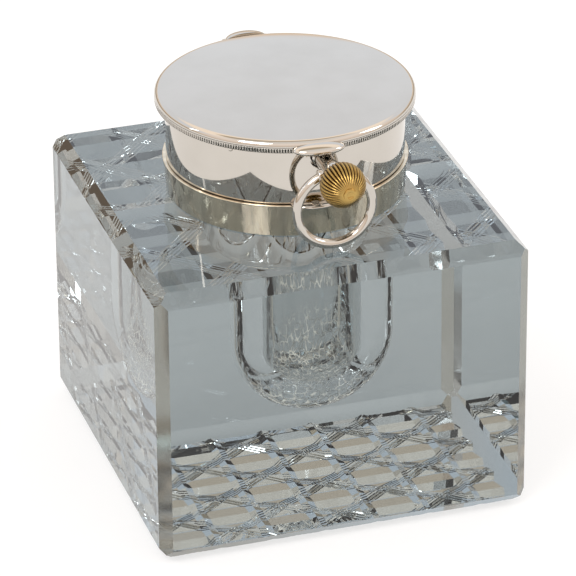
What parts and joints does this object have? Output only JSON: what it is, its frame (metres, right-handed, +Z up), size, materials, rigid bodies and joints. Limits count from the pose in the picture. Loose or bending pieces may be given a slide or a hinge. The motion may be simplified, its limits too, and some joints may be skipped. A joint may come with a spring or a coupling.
{
  "type": "inkwell",
  "caption": "Square cut glass inkwell with a silver collar and a round hinged lid that holds a pocket watch under a second hinged cover.",
  "frame": {"origin": "centre of the glass block's base, on the surface it stands on", "axes": "+Z up; -Y is the front, where the watch's crown and bow stand out of the lid; the hinges are at +Y"},
  "size_m": [0.082, 0.085, 0.0878],
  "materials": {
    "glass": "polished clear",
    "cement": "plaster",
    "silver": "polished silver plate",
    "gilt": "worn gilt",
    "brass": "gilt brass",
    "steel": "bright steel",
    "blued_steel": "blued",
    "enamel": "white enamel",
    "crystal": "clear watch glass"
  },
  "bodies": {
    "base": {"glass_block": "glass", "collar_cement": "cement", "collar": "silver", "collar_knuckle_left": "silver", "collar_knuckle_right": "silver", "lid_hinge_pin": "steel"},
    "lid": {"lid_drum": "silver", "lid_floor": "silver", "lid_knuckle": "silver", "lid_thumbpiece": "silver", "well_seal_ring": "silver", "drum_cover_knuckle_left": "silver", "drum_cover_knuckle_right": "silver", "cover_hinge_pin": "steel", "watch_case_back": "silver", "watch_case_band": "silver", "watch_bezel": "silver", "watch_crystal": "crystal", "watch_dial": "enamel", "pendant": "silver", "pillar_plate": "brass", "top_plate": "brass", "plate_pillar_1": "brass", "plate_pillar_2": "brass", "plate_pillar_3": "brass", "plate_pillar_4": "brass", "balance_cock": "brass", "balance_cock_screw": "blued_steel"},
    "cover": {"cover_plate": "silver", "cover_reeded_rim": "silver", "cover_thumbpiece": "silver", "cover_knuckle": "silver", "cover_hinge_lug": "silver", "cover_catch_nib": "silver"},
    "bow": {"bow": "silver"},
    "setting_lever": {"setting_lever": "steel"},
    "crown": {"crown": "gilt", "winding_stem": "steel"},
    "crown_wheel": {"crown_wheel": "steel"},
    "ratchet": {"ratchet_wheel": "steel", "barrel_arbor": "steel"},
    "barrel": {"mainspring_barrel": "brass", "barrel_cover": "brass", "mainspring": "blued_steel"},
    "centre_wheel": {"centre_wheel": "brass", "cannon_pinion": "steel", "minute_hand": "blued_steel"},
    "third_wheel": {"third_wheel": "brass"},
    "fourth_wheel": {"fourth_wheel": "brass", "seconds_hand": "blued_steel"},
    "escape_wheel": {"escape_wheel": "brass"},
    "pallet_lever": {"pallet_lever": "steel"},
    "balance": {"balance_wheel": "brass", "hairspring": "blued_steel"},
    "minute_wheel": {"minute_wheel": "brass"},
    "hour_wheel": {"hour_wheel": "brass", "hour_hand": "blued_steel"}
  },
  "joints": [
    {"name": "lid_hinge", "type": "hinge", "parent": "base", "child": "lid", "pos_m": [0.0007, 0.0297, 0.07105], "axis": [-1, 0, 0], "range_deg": [0, 100]},
    {"name": "cover_hinge", "type": "hinge", "parent": "lid", "child": "cover", "pos_m": [0.0007, 0.0309, 0.08425], "axis": [-1, 0, 0], "range_deg": [0, 95]},
    {"name": "bow_swing", "type": "hinge", "parent": "lid", "child": "bow", "pos_m": [0.0007, -0.0321, 0.0813], "axis": [-1, 0, 0], "range_deg": [-15, 170]},
    {"name": "crown_pull", "type": "slide", "parent": "lid", "child": "setting_lever", "axis": [0, -1, 0], "range_m": [0, 0.001]},
    {"name": "crown_turn", "type": "hinge", "parent": "setting_lever", "child": "crown", "pos_m": [0.0007, -0.0377, 0.0813], "axis": [0, -1, 0], "continuous": true},
    {"name": "crown_wheel_turn", "type": "hinge", "parent": "lid", "child": "crown_wheel", "pos_m": [0.0007, -0.0093, 0.08], "axis": [0, 0, -1], "continuous": true},
    {"name": "ratchet_turn", "type": "hinge", "parent": "lid", "child": "ratchet", "pos_m": [0.00898, -0.00308, 0.08], "axis": [0, 0, -1], "continuous": true},
    {"name": "fourth_turn", "type": "hinge", "parent": "lid", "child": "fourth_wheel", "pos_m": [0.0007, 0.0122, 0.07885], "axis": [0, 0, -1], "continuous": true},
    {"name": "barrel_turn", "type": "hinge", "parent": "lid", "child": "barrel", "pos_m": [0.00898, -0.00308, 0.0791], "axis": [0, 0, -1], "continuous": true},
    {"name": "centre_turn", "type": "hinge", "parent": "lid", "child": "centre_wheel", "pos_m": [0.0007, 0.0017, 0.0806], "axis": [0, 0, -1], "continuous": true},
    {"name": "third_turn", "type": "hinge", "parent": "lid", "child": "third_wheel", "pos_m": [0.00565, 0.00813, 0.08], "axis": [0, 0, -1], "continuous": true},
    {"name": "escape_turn", "type": "hinge", "parent": "lid", "child": "escape_wheel", "pos_m": [-0.00456, 0.01039, 0.08], "axis": [0, 0, -1], "continuous": true},
    {"name": "pallet_swing", "type": "hinge", "parent": "lid", "child": "pallet_lever", "pos_m": [-0.00706, 0.00715, 0.08], "axis": [0, 0, -1], "range_deg": [-6, 6]},
    {"name": "balance_swing", "type": "hinge", "parent": "lid", "child": "balance", "pos_m": [-0.01159, 0.00127, 0.078], "axis": [0, 0, -1], "range_deg": [-135, 135]},
    {"name": "minute_wheel_turn", "type": "hinge", "parent": "lid", "child": "minute_wheel", "pos_m": [-0.00368, 0.00011, 0.08215], "axis": [0, 0, -1], "continuous": true},
    {"name": "hour_turn", "type": "hinge", "parent": "lid", "child": "hour_wheel", "pos_m": [0.0007, 0.0017, 0.0825], "axis": [0, 0, -1], "continuous": true}
  ],
  "couplings": [
    {"joint": "crown_wheel_turn", "follows": "crown_turn", "ratio": 0.44444},
    {"joint": "ratchet_turn", "follows": "crown_turn", "ratio": -0.33333},
    {"joint": "centre_turn", "follows": "fourth_turn", "ratio": 0.016667},
    {"joint": "third_turn", "follows": "fourth_turn", "ratio": -0.13333},
    {"joint": "escape_turn", "follows": "fourth_turn", "ratio": -10},
    {"joint": "barrel_turn", "follows": "fourth_turn", "ratio": -0.002381},
    {"joint": "minute_wheel_turn", "follows": "fourth_turn", "ratio": -0.0055556},
    {"joint": "hour_turn", "follows": "fourth_turn", "ratio": 0.0013889},
    {"joint": "pallet_swing", "follows": "balance_swing", "ratio": 0.037}
  ]
}
